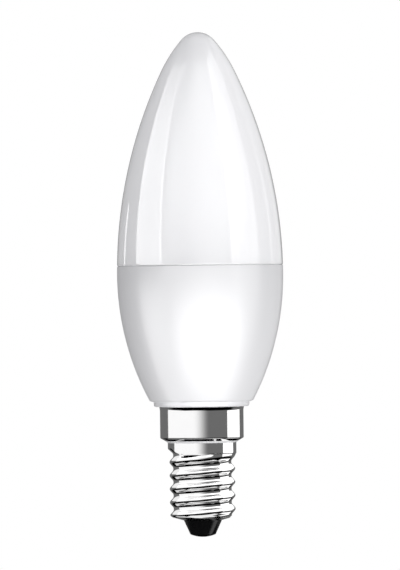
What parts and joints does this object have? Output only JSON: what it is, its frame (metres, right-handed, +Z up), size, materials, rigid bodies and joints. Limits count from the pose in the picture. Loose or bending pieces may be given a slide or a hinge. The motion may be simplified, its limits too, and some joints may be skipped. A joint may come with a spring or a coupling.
{
  "type": "candle bulb",
  "caption": "Candle-shaped LED lamp with an opal dome, a white housing and a small Edison screw cap with a rolled thread",
  "frame": {"origin": "tip of the centre contact, on the lamp's axis", "axes": "+Z runs up the lamp's axis from the cap to the dome's tip; the lamp stands cap down; -Y faces the viewer of the picture"},
  "size_m": [0.0348, 0.0348, 0.106],
  "materials": {
    "opal_plastic": "glossy opal white",
    "white_plastic": "satin white",
    "nickel_plate": "bright nickel plate on thin brass sheet",
    "black_moulding": "glossy black",
    "contact_metal": "dull dark plate"
  },
  "bodies": {
    "root": {"diffuser": "opal_plastic", "housing": "white_plastic", "screw_shell": "nickel_plate", "insulator": "black_moulding", "centre_contact": "contact_metal"}
  },
  "joints": []
}
